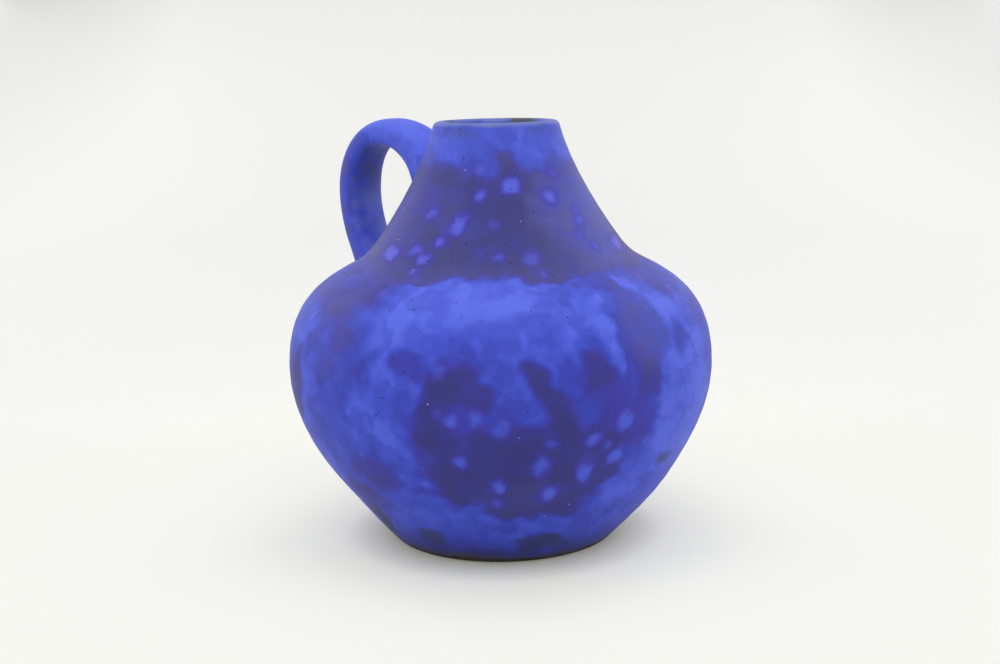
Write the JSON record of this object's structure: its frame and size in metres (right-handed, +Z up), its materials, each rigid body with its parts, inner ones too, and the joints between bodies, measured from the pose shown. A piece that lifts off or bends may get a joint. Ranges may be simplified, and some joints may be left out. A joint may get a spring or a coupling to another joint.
{
  "type": "vase",
  "caption": "Squat stoneware vase with a wide belly, a neck tapering to a small mouth and a strap handle from neck to shoulder, under a matte mottled cobalt glaze; holds stems.",
  "frame": {"origin": "On the axis of the vase, in the plane of the ring that it stands on.", "axes": "+Z up the axis through the mouth; the handle reaches toward -X, in the XZ plane; Y is across the handle."},
  "size_m": [0.1526, 0.1526, 0.1502],
  "materials": {
    "clay": "matte",
    "luting_clay": "matte",
    "cobalt_glaze": "matte",
    "liner_glaze": "satin"
  },
  "bodies": {
    "root": {"thrown_body": "clay", "strap_handle": "clay", "upper_root_fillet": "luting_clay", "lower_root_fillet": "luting_clay", "body_glaze": "cobalt_glaze", "handle_glaze": "cobalt_glaze", "liner_glaze": "liner_glaze"}
  },
  "joints": []
}
